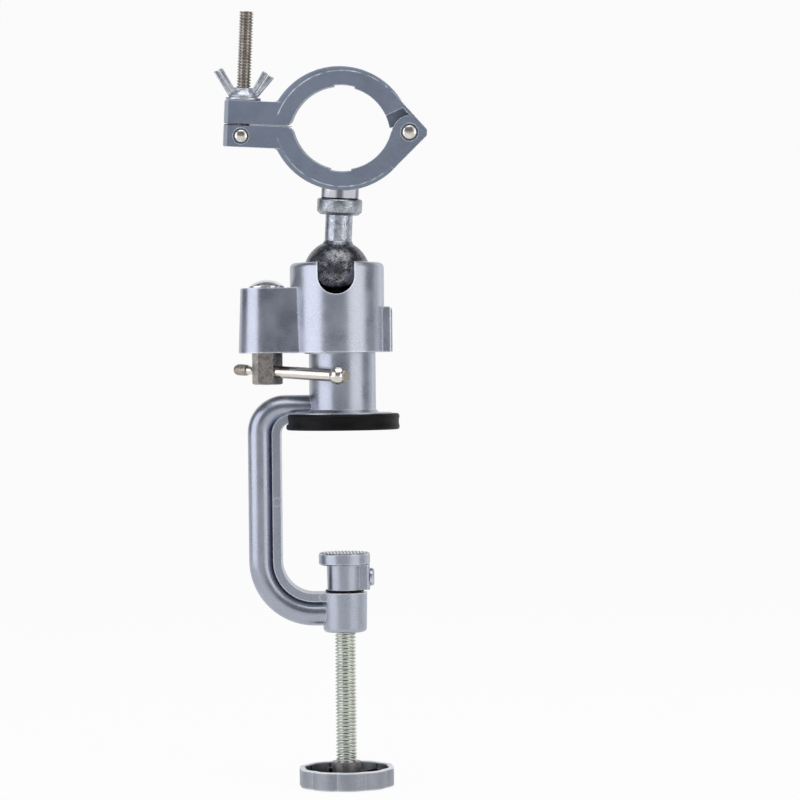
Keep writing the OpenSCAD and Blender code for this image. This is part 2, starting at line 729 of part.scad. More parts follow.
module lower_jaw() color([0.44, 0.48, 0.55]) on_ring() difference() {
    union() {
        intersection() {
            union() {
                translate([lower_x, 0, low_ring_past]) ring_disc();
                slab_y(ring_w) nose_web(lower_x, low_ring_past, 1, nose_low_a);
            }
            translate([-100, -50, lower_face - 100]) cube([200, 100, 100]);
        }
        ear(lower_face - low_ear_h, low_ear_h);
        mirror([0, 0, 1]) ear_fillet(lower_x, low_ring_past, low_ear_h - lower_face);
        slab_y(ring_w) {
            intersection() {
                union() {
                    translate([hinge_x, hinge_v]) circle(r = knuckle_r);
                    translate([hinge_x, hinge_v - nose_r]) square([nose_tip, 2 * nose_r]);
                }
                nose_wedge();
            }
            polygon([
                [lower_x + bore_r - 0.2, lower_face], [lower_x + bore_r, lower_face + 1.3],
                [hinge_x - 0.92 * knuckle_r, hinge_v + 2.6], [hinge_x, hinge_v]
            ]);
        }
        translate([0, 0, stem_start - joint_rise]) cylinder(d = stem_d, h = stud_end - stem_start + 1);
    }
    translate([lower_x, 0, low_bore_past]) rod_y(bore_r, ring_w + 2);
    bore_recess(lower_x, low_bore_past, -1);
    bore_corner(lower_x, lower_face, low_bore_past);
    slab_y(clevis_w) {
        translate([hinge_x, hinge_v]) circle(r = slot_r);
        translate([hinge_x, hinge_v - slot_r]) square([20, 40]);
        translate([hinge_x - 20, lower_face]) square([30, 30]);
    }
    translate([hinge_x, 0, hinge_v]) {
        rod_y(hinge_pin_d / 2 + snug_gap, ring_w + 2);
        for (s = [-1, 1]) translate([0, s * ring_w / 2, 0]) rod_y(recess_pin_r, 2 * recess_pin_t);
    }
    translate([-bolt_x, 0, pivot_v]) {
        rod_y(pivot_d / 2 + snug_gap, ring_w + 2);
        for (s = [-1, 1]) translate([0, s * ring_w / 2, 0]) rod_y(recess_pivot_r, 2 * recess_pin_t);
    }
    fork(lower_face - low_ear_h - 1, low_ear_h);
    translate([0, 0, stem_start - joint_rise - 1])
        cylinder(r = stud_d / 2 + run_gap, h = stud_end - stem_start + 1.6);
}

// Arc of the upper jaw with the way to the hinge, before its right end is thinned
module upper_arc() {
    translate([upper_x, 0, -ring_past]) ring_disc();
    slab_y(ring_w) nose_web(upper_x, ring_past, -1, nose_up_a);
}

module upper_jaw() color([0.44, 0.48, 0.55]) on_ring() difference() {
    union() {
        difference() {
            intersection() {
                upper_arc();
                translate([-100, -50, upper_face]) cube([200, 100, 100]);
            }
            translate([upper_x, 0, -bore_past]) rotate([0, -end_angle, 0])
                translate([0, -50, -100]) cube([100, 100, 100]);
        }
        intersection() {
            union() {
                upper_arc();
                slab_y(tongue_t) tongue_end();
            }
            slab_y(tongue_t) {
                tongue_end();
                difference() {
                    polygon([
                        [upper_x, -bore_past], [hinge_x + 4.5, hinge_v + 4.5],
                        [hinge_x, ring_r], [bore_r - 5, ring_r]
                    ]);
                    translate([-50, upper_face - 100]) square([100, 100]);
                }
            }
        }
        difference() {
            intersection() {
                upper_arc();
                translate([0, -50, upper_face]) cube([hinge_x + 1.8, 100, 60]);
            }
            translate([upper_x, 0, -ring_past]) rod_y(ring_r - strip_t, ring_w + 2);
            slab_y(ring_w + 2) polygon([
                [0, upper_face - 1], [nose_c - strip_t * sqrt(2) + hinge_v, upper_face - 1],
                [nose_c - strip_t * sqrt(2) + hinge_v - 24, 24 + upper_face], [0, 24]
            ]);
            translate([hinge_x, 0, hinge_v]) rod_y(knuckle_r + 0.4, ring_w + 2);
        }
        ear(upper_face, ear_h);
        ear_fillet(upper_x, ring_past, upper_face + ear_h);
    }
    translate([upper_x, 0, -bore_past]) rod_y(bore_r, ring_w + 2);
    bore_recess(upper_x, -bore_past, 1);
    mirror([0, 0, 1]) bore_corner(upper_x, -upper_face, bore_past);
    translate([hinge_x, 0, hinge_v]) rod_y(hinge_pin_d / 2 + run_gap, ring_w + 2);
    fork(upper_face - 1, ear_h);
}

// Headed pin along Y, with domed heads let into both sides
module rivet(d, head_r) {
    rod_y(d / 2, ring_w - 2 * recess_pin_t + 0.2);
    for (s = [-1, 1]) rotate([s * 90, 0, 0]) translate([0, 0, ring_w / 2 - recess_pin_t + snug_gap])
        rotate_extrude()
            polygon(concat(
                [[0, 0], [head_r, 0]],
                [for (i = [0 : 6]) let (a = 15 * i) [head_r * cos(a), 0.3 + 1.1 * sin(a)]]
            ));
}

module hinge_pin() color([0.6, 0.62, 0.6])
    on_ring() translate([hinge_x, 0, hinge_v]) rivet(hinge_pin_d, recess_pin_r - 0.7);

module pivot_pin() color([0.6, 0.62, 0.6])
    on_ring() translate([-bolt_x, 0, pivot_v]) rivet(pivot_d, recess_pivot_r - 0.6);

module swing_bolt() color([0.55, 0.5, 0.45]) on_ring() translate([-bolt_x, 0, pivot_v]) difference() {
    union() {
        rod_y(eye_r, eye_w);
        cylinder(d = bolt_d, h = bolt_rise - pivot_v - 0.8);
        translate([0, 0, bolt_rise - pivot_v - 0.8]) cylinder(d1 = bolt_d, d2 = bolt_d - 1.6, h = 0.8);
    }
    rod_y(pivot_d / 2 + run_gap, 2 * bolt_d);
}

module washer() color([0.68, 0.7, 0.73]) on_ring() translate([-bolt_x, 0, washer_v]) difference() {
    cylinder(d = washer_d, h = washer_t);
    translate([0, 0, -1]) cylinder(r = bolt_hole_r + face_gap, h = washer_t + 2);
}

module wing_nut() color([0.68, 0.72, 0.78]) on_ring() translate([-bolt_x, 0, wing_v]) difference() {
    union() {
        cylinder(d1 = wing_base_d, d2 = wing_base_d - 3, h = wing_base_h);
        for (s = [0, 1]) mirror([s, 0, 0]) slab_y(wing_t) {
            tip = [wing_span / 2 - wing_tip_r, wing_h - wing_tip_r];
            polygon([
                [2, 0.6], [wing_base_d / 2 - 0.3, 0.6],
                [tip[0] + 0.87 * wing_tip_r, tip[1] - 0.5 * wing_tip_r],
                [tip[0] - 0.87 * wing_tip_r, tip[1] + 0.5 * wing_tip_r],
                [wing_base_d / 2 - 2.2, wing_base_h], [2, wing_base_h]
            ]);
            translate(tip) circle(r = wing_tip_r);
        }
    }
    translate([0, 0, -1]) cylinder(r = bolt_hole_r, h = wing_h + 2);
}

c_frame();
bench_pad();
clamp_screw();
hand_knob();
pressure_cup();
cup_screw();
housing();
lock_screw();
t_nut();
t_bar();
t_bar_ball();
ball_stud();
lock_collar();
lower_jaw();
upper_jaw();
hinge_pin();
swing_bolt();
pivot_pin();
washer();
wing_nut();
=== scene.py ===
import math

import bpy
import json
from mathutils import Matrix, Vector


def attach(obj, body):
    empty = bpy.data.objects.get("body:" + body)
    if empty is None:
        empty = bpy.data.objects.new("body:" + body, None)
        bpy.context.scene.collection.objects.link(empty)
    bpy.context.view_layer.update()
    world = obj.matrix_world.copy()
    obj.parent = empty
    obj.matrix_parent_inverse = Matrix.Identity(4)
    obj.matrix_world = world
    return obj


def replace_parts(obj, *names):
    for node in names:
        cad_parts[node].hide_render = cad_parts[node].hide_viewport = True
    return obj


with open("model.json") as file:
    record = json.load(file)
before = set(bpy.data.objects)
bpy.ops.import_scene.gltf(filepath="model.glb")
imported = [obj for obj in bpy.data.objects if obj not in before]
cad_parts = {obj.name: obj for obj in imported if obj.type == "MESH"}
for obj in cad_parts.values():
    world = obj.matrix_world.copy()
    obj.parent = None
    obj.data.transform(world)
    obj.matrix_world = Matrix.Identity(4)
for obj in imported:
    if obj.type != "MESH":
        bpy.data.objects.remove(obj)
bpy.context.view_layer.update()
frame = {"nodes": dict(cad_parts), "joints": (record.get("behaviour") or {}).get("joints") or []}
nodes = frame["nodes"]
joint_places = {j["name"]: Vector(j["pos_m"]) for j in frame["joints"] if j.get("pos_m")}

MM = 0.001

# Sizes that the dressed pieces share with the solids, in metres
HEAD_LEAN = math.radians(3.1)
HEAD_PITCH = math.radians(4.6)
SCREW_R = 4.75 * MM
SCREW_PITCH = 1.5875 * MM
SCREW_TIP_Z = -61.5 * MM
SCREW_END_Z = -159.2 * MM
CUP_TOP_Z = -55.5 * MM
CUP_BOTTOM_Z = -72.1 * MM
BOLT_R = 3.175 * MM
BOLT_PITCH = 1.27 * MM
BOLT_LENGTH = 55.45 * MM
EYE_R = 4.7 * MM
NUT_RISE = 17.1 * MM
BALL = Vector((-2 * MM, 0, 70.2 * MM))
NOTCH_BOTTOM = 60.6 * MM
TBAR_MID = Vector((-33.7 * MM, 0, 26.5 * MM))
TBAR_ALONG = Vector((0.802755, -0.594008, -0.052336))
KNOB_BOTTOM = -160.3 * MM

HEAD_TURN = Matrix.Rotation(HEAD_LEAN, 4, "Y") @ Matrix.Rotation(HEAD_PITCH, 4, "X")
STUD_ALONG = HEAD_TURN @ Vector((0, 0, 1))
HEAD_ACROSS = HEAD_TURN @ Vector((1, 0, 0))
HEAD_DEPTH = HEAD_TURN @ Vector((0, 1, 0))
RING_MIDDLE = BALL + 64.8 * MM * STUD_ALONG

# Sizes that the materials go by, in millimetres, from the ring's middle, the ball, the notch's
# bottom or the knob's foot
RING_PAST = 4.6
LOW_RING_PAST = 5.0
RING_LINE_R = 30.5
RING_LINE_END = 19.0
EAR_FACE_END = 50.9
JOINT_SHADE_END = -40.8
STEM_TOP = -25.0
STEM_END = -31.1
STEM_R = 8.4
NECK_START = 14.6
NOTCH_SHADOW_TOP = 6.4
KNOB_UNDERSIDE_Z = 0.4
KNOB_HOLLOW_R = 18.6
KNOB_HUB_R = 7.4
KNOB_RIM_R = 15.0
KNOB_RIM_Z = 7.75


# Modelling

def select_only(*objects):
    bpy.ops.object.select_all(action="DESELECT")
    for o in objects:
        o.select_set(True)
    bpy.context.view_layer.objects.active = objects[-1]


def edit(o):
    select_only(o)
    bpy.ops.object.mode_set(mode="EDIT")
    bpy.ops.mesh.select_mode(type="VERT")


def leave():
    bpy.ops.object.mode_set(mode="OBJECT")


def pick(o, kind, test):
    """Selects the points, edges or faces of o for which test is true, and goes on in edit mode."""
    edit(o)
    bpy.ops.mesh.select_mode(type=kind)
    bpy.ops.mesh.select_all(action="DESELECT")
    leave()
    parts = {"VERT": o.data.vertices, "EDGE": o.data.edges, "FACE": o.data.polygons}[kind]
    for part in parts:
        part.select = bool(test(part))
    bpy.ops.object.mode_set(mode="EDIT")


def name_piece(name):
    o = bpy.context.object
    o.name = name
    o.data.name = name
    return o


def apply_all(o):
    select_only(o)
    for m in list(o.modifiers):
        bpy.ops.object.modifier_apply(modifier=m.name)


def settle(o, placement=None):
    """Leaves a finished piece with its place in its mesh."""
    if placement is not None:
        o.matrix_world = placement @ o.matrix_world
    select_only(o)
    bpy.ops.object.transform_apply(location=True, rotation=True, scale=True)


def clean_shell(o):
    """Merges doubled points and turns every face outwards."""
    edit(o)
    bpy.ops.mesh.select_all(action="SELECT")
    bpy.ops.mesh.remove_doubles(threshold=2e-6)
    bpy.ops.mesh.normals_make_consistent(inside=False)
    leave()


def smooth(o, degrees):
    select_only(o)
    bpy.ops.object.shade_smooth_by_angle(angle=math.radians(degrees))


def trace(name, points):
    """A line of points in the XZ plane, drawn by extruding one point after another."""
    bpy.ops.object.select_all(action="DESELECT")
    bpy.ops.mesh.primitive_plane_add(size=MM, location=(0, 0, 0))
    o = name_piece(name)
    pick(o, "VERT", lambda v: v.index > 0)
    bpy.ops.mesh.delete(type="VERT")
    bpy.ops.mesh.select_all(action="SELECT")
    leave()
    start = o.data.vertices[0].co.copy()
    bpy.ops.object.mode_set(mode="EDIT")
    at = start
    for x, z in points:
        to = Vector((x, 0, z))
        if at is start:
            bpy.ops.transform.translate(value=to - at)
        else:
            bpy.ops.mesh.extrude_region_move(TRANSFORM_OT_translate={"value": to - at})
        at = to
    leave()
    return o


def turned(name, points, steps=64):
    """A closed piece turned about the Z axis from a profile of (radius, height) points."""
    o = trace(name, points)
    edit(o)
    bpy.ops.mesh.select_all(action="SELECT")
    bpy.ops.mesh.spin(steps=steps, angle=2 * math.pi, center=(0, 0, 0), axis=(0, 0, 1))
    leave()
    clean_shell(o)
    return o


def thread(name, root, crest, pitch, low, high, steps=36):
    """A screw thread about the Z axis, cut flat at both ends."""
    start = low - 1.2 * pitch
    profile = [(0, 0), (0, 0.12), (0.95, 0.36), (1, 0.42), (1, 0.64), (0.95, 0.7), (0, 0.94), (0, 1)]
    o = trace(name, [(root + (crest - root) * h, start + pitch * s) for h, s in profile])
    m = o.modifiers.new("helix", "SCREW")
    m.axis = "Z"
    m.screw_offset = pitch
    m.iterations = math.ceil((high - start) / pitch) + 1
    m.steps = m.render_steps = steps
    m.use_merge_vertices = False
    apply_all(o)
    clean_shell(o)
    edit(o)
    for height, outer in ((low, False), (high, True)):
        bpy.ops.mesh.select_all(action="SELECT")
        bpy.ops.mesh.bisect(plane_co=(0, 0, height), plane_no=(0, 0, 1), use_fill=True,
                            clear_outer=outer, clear_inner=not outer)
    leave()
    clean_shell(o)
    return o


def taper_end(o, height, share):
    """Draws in the end of a thread."""
    pick(o, "VERT", lambda v: abs(v.co.z - height) < 0.01 * MM)
    bpy.ops.transform.resize(value=(share, share, 1), center_override=(0, 0, height))
    leave()


def joined(name, *objects):
    select_only(*objects)
    bpy.ops.object.join()
    return name_piece(name)


def stand_along(place, along):
    """Placement that puts a piece's Z axis along a direction."""
    return Matrix.Translation(place) @ along.to_track_quat("Z", "Y").to_matrix().to_4x4()


def on_stud(place):
    return Matrix.Translation(place) @ HEAD_TURN


# Shader parts

def new_group(name, inputs, outputs):
    tree = bpy.data.node_groups.new(name, "ShaderNodeTree")
    for label, value in inputs:
        s = tree.interface.new_socket(label, in_out="INPUT", socket_type="NodeSocketFloat")
        s.default_value = value
    for label in outputs:
        tree.interface.new_socket(label, in_out="OUTPUT", socket_type="NodeSocketFloat")
    return tree, tree.nodes.new("NodeGroupInput"), tree.nodes.new("NodeGroupOutput")


def math_node(tree, operation, a, b=None, clamp=False):
    n = tree.nodes.new("ShaderNodeMath")
    n.operation = operation
    n.use_clamp = clamp
    for socket, value in zip(n.inputs, (a, b)):
        if value is None:
            continue
        if isinstance(value, (int, float)):
            socket.default_value = value
        else:
            tree.links.new(value, socket)
    return n.outputs[0]


def times(tree, a, b):
    return math_node(tree, "MULTIPLY", a, b)


def ranged(tree, value, a, b, c=0.0, d=1.0):
    """Takes a value from the range a to b into the range c to d, and holds it there."""
    n = tree.nodes.new("ShaderNodeMapRange")
    tree.links.new(value, n.inputs["Value"])
    for label, v in zip(("From Min", "From Max", "To Min", "To Max"), (a, b, c, d)):
        n.inputs[label].default_value = v
    return n.outputs["Result"]


def mixed(tree, factor, a, b):
    n = tree.nodes.new("ShaderNodeMix")
    n.data_type = "RGBA"
    tree.links.new(factor, n.inputs["Factor"])
    for socket, value in ((n.inputs["A"], a), (n.inputs["B"], b)):
        if isinstance(value, tuple):
            socket.default_value = (*value, 1)
        else:
            tree.links.new(value, socket)
    return n.outputs["Result"]


def place_in_mm(tree):
    coordinates = tree.nodes.new("ShaderNodeTexCoord")
    n = tree.nodes.new("ShaderNodeVectorMath")
    n.operation = "SCALE"
    n.inputs["Scale"].default_value = 1000
    tree.links.new(coordinates.outputs["Object"], n.inputs[0])
    return n.outputs["Vector"]


def noise(tree, place, size, detail=2.0, rough=0.5):
    n = tree.nodes.new("ShaderNodeTexNoise")
    tree.links.new(place, n.inputs["Vector"])
    if isinstance(size, (int, float)):
        n.inputs["Scale"].default_value = 1 / size
    else:
        tree.links.new(math_node(tree, "DIVIDE", 1.0, size), n.inputs["Scale"])
    n.inputs["Detail"].default_value = detail
    n.inputs["Roughness"].default_value = rough
    return n.outputs["Fac"]


def cast_skin_group():
    """Fine metal flake and soft waves of a painted die casting."""
    tree, gi, go = new_group("cast skin", [("Flake Size", 0.3), ("Wave Size", 9.0)],
                             ["Flake", "Wave", "Height"])
    place = place_in_mm(tree)
    cells = tree.nodes.new("ShaderNodeTexVoronoi")
    tree.links.new(place, cells.inputs["Vector"])
    tree.links.new(math_node(tree, "DIVIDE", 1.0, gi.outputs["Flake Size"]), cells.inputs["Scale"])
    grey = tree.nodes.new("ShaderNodeSeparateColor")
    tree.links.new(cells.outputs["Color"], grey.inputs["Color"])
    flake = grey.outputs["Red"]
    wave = noise(tree, place, gi.outputs["Wave Size"], 3)
    fine = noise(tree, place, gi.outputs["Flake Size"], 2)
    height = math_node(tree, "ADD", times(tree, flake, 0.5), fine)
    tree.links.new(flake, go.inputs["Flake"])
    tree.links.new(ranged(tree, wave, 0.35, 0.65), go.inputs["Wave"])
    tree.links.new(height, go.inputs["Height"])
    return tree


def worn_edge_group():
    """Bright line where an edge is worn: white where the rounded and the true surface differ."""
    tree, gi, go = new_group("worn edge", [("Width", 0.0006), ("Gain", 5.0)], ["Mask"])
    rounded = tree.nodes.new("ShaderNodeBevel")
    rounded.samples = 4
    tree.links.new(gi.outputs["Width"], rounded.inputs["Radius"])
    true_normal = tree.nodes.new("ShaderNodeNewGeometry")
    dot = tree.nodes.new("ShaderNodeVectorMath")
    dot.operation = "DOT_PRODUCT"
    tree.links.new(rounded.outputs["Normal"], dot.inputs[0])
    tree.links.new(true_normal.outputs["Normal"], dot.inputs[1])
    turn = math_node(tree, "SUBTRACT", 1.0, dot.outputs["Value"])
    broken = ranged(tree, noise(tree, place_in_mm(tree), 1.6, 3), 0.3, 0.6, 0.35, 1)
    strength = times(tree, times(tree, turn, gi.outputs["Gain"]), broken)
    tree.links.new(math_node(tree, "MINIMUM", strength, 1.0), go.inputs["Mask"])
    return tree


def mottle_group():
    """Blotches of handling marks and tool rub on bare metal."""
    tree, gi, go = new_group("mottle", [("Blotch Size", 2.5), ("Pit Size", 0.45)],
                             ["Blotch", "Pits", "Height"])
    place = place_in_mm(tree)
    blotch = noise(tree, place, gi.outputs["Blotch Size"], 5, 0.62)
    pits = noise(tree, place, gi.outputs["Pit Size"], 3, 0.6)
    tree.links.new(ranged(tree, blotch, 0.38, 0.62), go.inputs["Blotch"])
    tree.links.new(ranged(tree, pits, 0.4, 0.62), go.inputs["Pits"])
    height = math_node(tree, "ADD", pits, times(tree, blotch, 0.6))
    tree.links.new(height, go.inputs["Height"])
    return tree


CAST_SKIN = cast_skin_group()
WORN_EDGE = worn_edge_group()
MOTTLE = mottle_group()


def placed(tree, group, **values):
    n = tree.nodes.new("ShaderNodeGroup")
    n.node_tree = group
    for label, value in values.items():
        n.inputs[label.replace("_", " ")].default_value = value
    return n.outputs


def new_material(name, metallic, roughness):
    m = bpy.data.materials.new(name)
    m.use_nodes = True
    shader = m.node_tree.nodes["Principled BSDF"]
    shader.inputs["Metallic"].default_value = metallic
    shader.inputs["Roughness"].default_value = roughness
    return m, m.node_tree, shader


def bumped(tree, shader, height, strength, distance):
    n = tree.nodes.new("ShaderNodeBump")
    n.inputs["Strength"].default_value = strength
    n.inputs["Distance"].default_value = distance
    tree.links.new(height, n.inputs["Height"])
    tree.links.new(n.outputs["Normal"], shader.inputs["Normal"])


def axis_parts(tree, place, origin, *axes):
    """Distances of a point from an origin along the given axes, all in millimetres."""
    parts = []
    for axis in axes:
        n = tree.nodes.new("ShaderNodeVectorMath")
        n.operation = "DOT_PRODUCT"
        n.inputs[1].default_value = axis
        tree.links.new(place, n.inputs[0])
        parts.append(math_node(tree, "SUBTRACT", n.outputs["Value"], origin.dot(axis) / MM))
    return parts


def radius_of(tree, a, b):
    """Distance from an axis, out of the two distances across it."""
    return math_node(tree, "SQRT", math_node(tree, "ADD", times(tree, a, a), times(tree, b, b)))


def above_ball(tree):
    """White on the stud's neck, black on its ball, with a broken border between them."""
    place = place_in_mm(tree)
    height, = axis_parts(tree, place, BALL, STUD_ALONG)
    ragged = math_node(tree, "ADD", height, times(tree, noise(tree, place, 1.5, 3), 3.0))
    return ranged(tree, ragged, NECK_START, NECK_START + 2.4)


def notch_shadow(tree):
    """Painted shadow of the notch on the ball: white on the ball's lowest part, black above, with a broken
    border.
    """
    place = place_in_mm(tree)
    height, = axis_parts(tree, place, Vector((0, 0, NOTCH_BOTTOM)), Vector((0, 0, 1)))
    ragged = math_node(tree, "ADD", height, times(tree, noise(tree, place, 1.8, 3), 2.5))
    return ranged(tree, ragged, NOTCH_SHADOW_TOP, NOTCH_SHADOW_TOP - 2.0)


def ring_highlights(tree):
    """Painted highlights: a bright line where the rim's slope meets the ring's face, and a lighter band on
    the ear's sloping end.
    """
    place = place_in_mm(tree)
    across, up = axis_parts(tree, place, RING_MIDDLE, HEAD_ACROSS, STUD_ALONG)
    upper_half = math_node(tree, "GREATER_THAN", up, 0.0)
    height = math_node(tree, "ADD", up, ranged(tree, upper_half, 0, 1, -LOW_RING_PAST, RING_PAST))
    off = math_node(tree, "SUBTRACT", radius_of(tree, across, height), RING_LINE_R)
    line = ranged(tree, math_node(tree, "ABSOLUTE", off), 0.36, 0.1)
    line = times(tree, line, math_node(tree, "LESS_THAN", across, RING_LINE_END))
    line = times(tree, line, ranged(tree, math_node(tree, "ABSOLUTE", up), 4.8, 5.6))
    broken = ranged(tree, noise(tree, place, 4.0, 3), 0.38, 0.62, 0.05, 0.8)
    ear_end_highlight = ranged(tree, across, -EAR_FACE_END, -EAR_FACE_END - 0.2, 0, 0.3)
    return math_node(tree, "ADD", times(tree, line, broken), ear_end_highlight, clamp=True)


def painted_joint_shade(tree):
    """White in the outer half of the joint between the ears, where shade is painted."""
    across, up = axis_parts(tree, place_in_mm(tree), RING_MIDDLE, HEAD_ACROSS, STUD_ALONG)
    near = ranged(tree, math_node(tree, "ABSOLUTE", up), 0.5, 0.4)
    return times(tree, near, ranged(tree, across, JOINT_SHADE_END, JOINT_SHADE_END - 0.8))


def stem_parts(tree):
    """White on the stem, white where its painted reflection bands are bright, and white along its lower
    end.
    """
    across, depth, up = axis_parts(tree, place_in_mm(tree), RING_MIDDLE,
                                   HEAD_ACROSS, HEAD_DEPTH, STUD_ALONG)
    off = math_node(tree, "SUBTRACT", radius_of(tree, across, depth), STEM_R)
    on_side = times(tree, ranged(tree, math_node(tree, "ABSOLUTE", off), 0.2, 0.1),
                    math_node(tree, "LESS_THAN", up, STEM_TOP))
    stem = math_node(tree, "MAXIMUM", on_side, ranged(tree, up, STEM_END + 2.2, STEM_END + 2.0))
    aside = math_node(tree, "ABSOLUTE", across)
    reflection_bands = times(tree, ranged(tree, aside, 0.8, 2.2), ranged(tree, aside, STEM_R - 1.1, STEM_R - 1.8))
    return stem, reflection_bands, ranged(tree, up, STEM_END + 0.5, STEM_END + 0.35)


def knob_parts(tree):
    """White inside the knob's hollow, where shade is painted, on its hub, and on the rim's top, where a
    highlight is painted.
    """
    x, y, z = axis_parts(tree, place_in_mm(tree), Vector((0, 0, KNOB_BOTTOM)),
                         Vector((1, 0, 0)), Vector((0, 1, 0)), Vector((0, 0, 1)))
    away = radius_of(tree, x, y)
    off_underside = ranged(tree, z, KNOB_UNDERSIDE_Z, KNOB_UNDERSIDE_Z + 0.2)
    hollow = times(tree, ranged(tree, away, KNOB_HOLLOW_R, KNOB_HOLLOW_R - 0.3), off_underside)
    hub = times(tree, ranged(tree, away, KNOB_HUB_R, KNOB_HUB_R - 0.3), off_underside)
    rim = times(tree, ranged(tree, away, KNOB_RIM_R, KNOB_RIM_R + 0.5),
                ranged(tree, z, KNOB_RIM_Z, KNOB_RIM_Z + 0.25, 0, 0.9))
    return hollow, hub, rim


def dress_jaws(tree, body, bright):
    """Adds the ring's painted highlights, the bare stem with painted reflection bands and a painted shade
    line at its lower end, and painted shade in the joint.
    """
    # painted highlights along the ring's crease and on the ear's end, added to the bright parts
    bright = math_node(tree, "MAXIMUM", bright, ring_highlights(tree))
    stem, reflection_bands, gap_shade = stem_parts(tree)
    # painted reflection bands on the bare stem: dark in the middle and at the sides, bright between
    body = mixed(tree, stem, body, mixed(tree, reflection_bands, (0.15, 0.16, 0.19), (0.55, 0.555, 0.61)))
    # painted shade, near black, in the outer half of the joint between the ears
    joint_shadow = painted_joint_shade(tree)
    body = mixed(tree, joint_shadow, body, (0.006, 0.006, 0.008))
    bright = math_node(tree, "SUBTRACT", bright, joint_shadow, clamp=True)
    bright = math_node(tree, "SUBTRACT", bright, stem, clamp=True)
    # painted shade line along the stem's lower end, in the gap where it meets the collar
    return mixed(tree, gap_shade, body, (0.01, 0.01, 0.012)), bright, stem


def dress_knob(tree, body, bright):
    """Paints shade into the knob's hollow, leaves its hub rough, and paints a highlight on its rim."""
    hollow, hub, rim = knob_parts(tree)
    # painted shade inside the knob's hollow
    body = mixed(tree, hollow, body, (0.012, 0.012, 0.014))
    bright = math_node(tree, "SUBTRACT", bright, hollow, clamp=True)
    rough_cast = mixed(tree, noise(tree, place_in_mm(tree), 1.1, 4), (0.10, 0.095, 0.10), (0.5, 0.47, 0.47))
    # painted highlight on the rim's top, added to the bright parts
    return mixed(tree, hub, body, rough_cast), math_node(tree, "MAXIMUM", bright, rim), None


def cast_paint(name, dark, light, edge, metallic=0.95, roughness=0.29, relief=0.12, wear=0.0009,
               dress=None):
    """Satin silver paint over a die casting, with flake, soft waves and bright worn edges.

    dress adds what one piece has besides, and gives the colour, the bright parts and the bare metal.
    """
    m, tree, shader = new_material(name, metallic, roughness)
    skin = placed(tree, CAST_SKIN, Flake_Size=0.3, Wave_Size=11.0)
    bright = placed(tree, WORN_EDGE, Width=wear, Gain=7.0)["Mask"]
    tone = math_node(tree, "ADD", times(tree, skin["Flake"], 0.6), times(tree, skin["Wave"], 0.4))
    body = mixed(tree, tone, dark, light)
    bare = None
    if dress:
        body, bright, bare = dress(tree, body, bright)
    metal = ranged(tree, bright, 0, 1, metallic, 0.15)
    dull = ranged(tree, skin["Wave"], 0, 1, roughness - 0.04, roughness + 0.05)
    if bare is not None:
        metal = math_node(tree, "MAXIMUM", metal, bare)
        dull = math_node(tree, "SUBTRACT", dull, times(tree, bare, 0.22))
    tree.links.new(mixed(tree, bright, body, edge), shader.inputs["Base Color"])
    tree.links.new(metal, shader.inputs["Metallic"])
    tree.links.new(dull, shader.inputs["Roughness"])
    bumped(tree, shader, skin["Height"], relief, 0.00006)
    return m


def bare_metal(name, dark, light, edge, roughness=0.3, blotch=2.5, pit=0.45, relief=0.2, spread=0.12,
               neck=None):
    """Plated or bare metal with blotches, pits and bright edges.

    neck gives the two colours above the ball, and then the ball's lowest part, down in the notch, gets a
    painted shadow.
    """
    m, tree, shader = new_material(name, 1.0, roughness)
    marks = placed(tree, MOTTLE, Blotch_Size=blotch, Pit_Size=pit)
    worn = placed(tree, WORN_EDGE, Width=0.0004, Gain=4.0)
    tone = math_node(tree, "ADD", times(tree, marks["Blotch"], 0.55), times(tree, marks["Pits"], 0.45))
    body = mixed(tree, tone, dark, light)
    if neck:
        body = mixed(tree, above_ball(tree), body, mixed(tree, tone, *neck))
        # painted shadow where the ball sits down in the notch
        body = mixed(tree, notch_shadow(tree), body, (0.004, 0.004, 0.005))
    dull = ranged(tree, marks["Pits"], 0, 1, roughness + spread, roughness)
    tree.links.new(mixed(tree, worn["Mask"], body, edge), shader.inputs["Base Color"])
    tree.links.new(dull, shader.inputs["Roughness"])
    bumped(tree, shader, marks["Height"], relief, 0.00006)
    return m


def ridged_steel(name):
    """Pressed ridges, rubbed bright on their crests and dark in their valleys."""
    m, tree, shader = new_material(name, 0.6, 0.35)
    marks = placed(tree, MOTTLE, Blotch_Size=2.0, Pit_Size=0.6)
    place = place_in_mm(tree)
    height, = axis_parts(tree, place, Vector((0, 0, CUP_TOP_Z)), Vector((0, 0, 1)))
    worn = math_node(tree, "SUBTRACT", height, times(tree, marks["Pits"], 0.05))
    tree.links.new(mixed(tree, ranged(tree, worn, 0.08, 0.24), (0.03, 0.033, 0.04), (0.92, 0.93, 0.95)),
                   shader.inputs["Base Color"])
    tree.links.new(ranged(tree, marks["Blotch"], 0, 1, 0.3, 0.42), shader.inputs["Roughness"])
    return m


def rubber(name):
    """Black moulded rubber with a fine dull grain and a trace of dust on its edges."""
    m, tree, shader = new_material(name, 0.0, 0.5)
    shader.inputs["Specular IOR Level"].default_value = 0.16
    marks = placed(tree, MOTTLE, Blotch_Size=5.0, Pit_Size=0.35)
    worn = placed(tree, WORN_EDGE, Width=0.0005, Gain=2.5)
    body = mixed(tree, marks["Blotch"], (0.0015, 0.0015, 0.002), (0.004, 0.004, 0.005))
    tree.links.new(mixed(tree, worn["Mask"], body, (0.05, 0.05, 0.055)), shader.inputs["Base Color"])
    tree.links.new(ranged(tree, marks["Pits"], 0, 1, 0.42, 0.58), shader.inputs["Roughness"])
    bumped(tree, shader, marks["Height"], 0.25, 0.00008)
    return m


